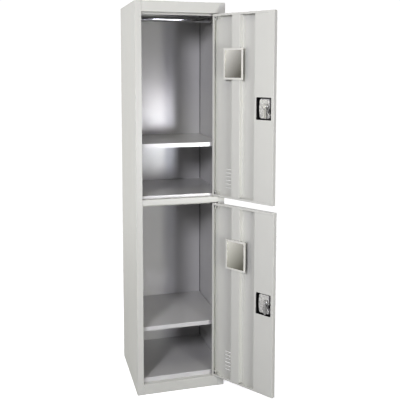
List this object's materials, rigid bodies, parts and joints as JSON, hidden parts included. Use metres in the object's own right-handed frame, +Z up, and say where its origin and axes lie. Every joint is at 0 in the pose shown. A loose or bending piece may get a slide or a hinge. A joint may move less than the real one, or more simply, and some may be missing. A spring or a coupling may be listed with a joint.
{
  "type": "two-door locker",
  "caption": "Tall narrow steel locker with stacked doors on pivot pins, cam locks, shelves, a hanging rod and door mirrors.",
  "frame": {"origin": "on the floor, midway across, in the middle of the plinth's foot flange, 12.5 mm behind the front face", "axes": "+Z up, +X to the right as seen from the front, +Y to the back, doors face -Y"},
  "size_m": [0.5751, 0.7447, 1.83],
  "materials": {
    "locker_paint": "light warm grey baked enamel, satin",
    "zinc_plate": "bright zinc plating, slightly dull",
    "bright_chrome": "bright nickel-chrome plating",
    "bush_nylon": "off-white nylon",
    "mirror_frame_plastic": "pale beige moulded plastic",
    "mirror_glass": "silvered sheet",
    "magnet_rubber": "dark flexible magnet sheet"
  },
  "bodies": {
    "root": {"left_side_panel": "locker_paint", "right_side_panel": "locker_paint", "back_panel": "locker_paint", "top_panel": "locker_paint", "mid_rail": "locker_paint", "plinth": "locker_paint", "upper_floor": "locker_paint", "lower_floor": "locker_paint", "upper_shelf": "locker_paint", "lower_shelf": "locker_paint", "upper_shelf_clip_left_front": "zinc_plate", "upper_shelf_clip_left_rear": "zinc_plate", "upper_shelf_clip_right_front": "zinc_plate", "upper_shelf_clip_right_rear": "zinc_plate", "lower_shelf_clip_left_front": "zinc_plate", "lower_shelf_clip_left_rear": "zinc_plate", "lower_shelf_clip_right_front": "zinc_plate", "lower_shelf_clip_right_rear": "zinc_plate", "hanging_rod": "bright_chrome", "rod_cup_left": "zinc_plate", "rod_cup_right": "zinc_plate", "upper_top_bush": "bush_nylon", "upper_bottom_bush": "bush_nylon", "lower_top_bush": "bush_nylon", "lower_bottom_bush": "bush_nylon"},
    "upper_door": {"upper_door_pan": "locker_paint", "upper_door_stiffener": "locker_paint", "upper_lock_cover": "locker_paint", "upper_mirror_frame": "mirror_frame_plastic", "upper_mirror_glass": "mirror_glass", "upper_mirror_backing": "magnet_rubber", "upper_top_pivot_bracket": "locker_paint", "upper_top_pivot_pin": "zinc_plate", "upper_bottom_pivot_bracket": "locker_paint", "upper_bottom_pivot_pin": "zinc_plate", "upper_lock_pocket": "zinc_plate", "upper_lock_barrel": "zinc_plate", "upper_lock_nut": "zinc_plate"},
    "upper_lock": {"upper_lock_plug": "bright_chrome", "upper_lock_cam": "zinc_plate", "upper_cam_nut": "zinc_plate"},
    "lower_door": {"lower_door_pan": "locker_paint", "lower_door_stiffener": "locker_paint", "lower_lock_cover": "locker_paint", "lower_mirror_frame": "mirror_frame_plastic", "lower_mirror_glass": "mirror_glass", "lower_mirror_backing": "magnet_rubber", "lower_top_pivot_bracket": "locker_paint", "lower_top_pivot_pin": "zinc_plate", "lower_bottom_pivot_bracket": "locker_paint", "lower_bottom_pivot_pin": "zinc_plate", "lower_lock_pocket": "zinc_plate", "lower_lock_barrel": "zinc_plate", "lower_lock_nut": "zinc_plate"},
    "lower_lock": {"lower_lock_plug": "bright_chrome", "lower_lock_cam": "zinc_plate", "lower_cam_nut": "zinc_plate"}
  },
  "joints": [
    {"name": "upper_door_hinge", "type": "hinge", "parent": "root", "child": "upper_door", "pos_m": [0.168, -0.007, 0.932], "axis": [0, 0, 1], "range_deg": [-122, 3]},
    {"name": "upper_lock_turn", "type": "hinge", "parent": "upper_door", "child": "upper_lock", "pos_m": [0.33296, -0.26062, 1.364], "axis": [-0.848, -0.5299, 0], "range_deg": [0, 90]},
    {"name": "lower_door_hinge", "type": "hinge", "parent": "root", "child": "lower_door", "pos_m": [0.168, -0.007, 0.053], "axis": [0, 0, 1], "range_deg": [-124, 1]},
    {"name": "lower_lock_turn", "type": "hinge", "parent": "lower_door", "child": "lower_lock", "pos_m": [0.34172, -0.25471, 0.485], "axis": [-0.829, -0.5592, 0], "range_deg": [0, 90]}
  ]
}
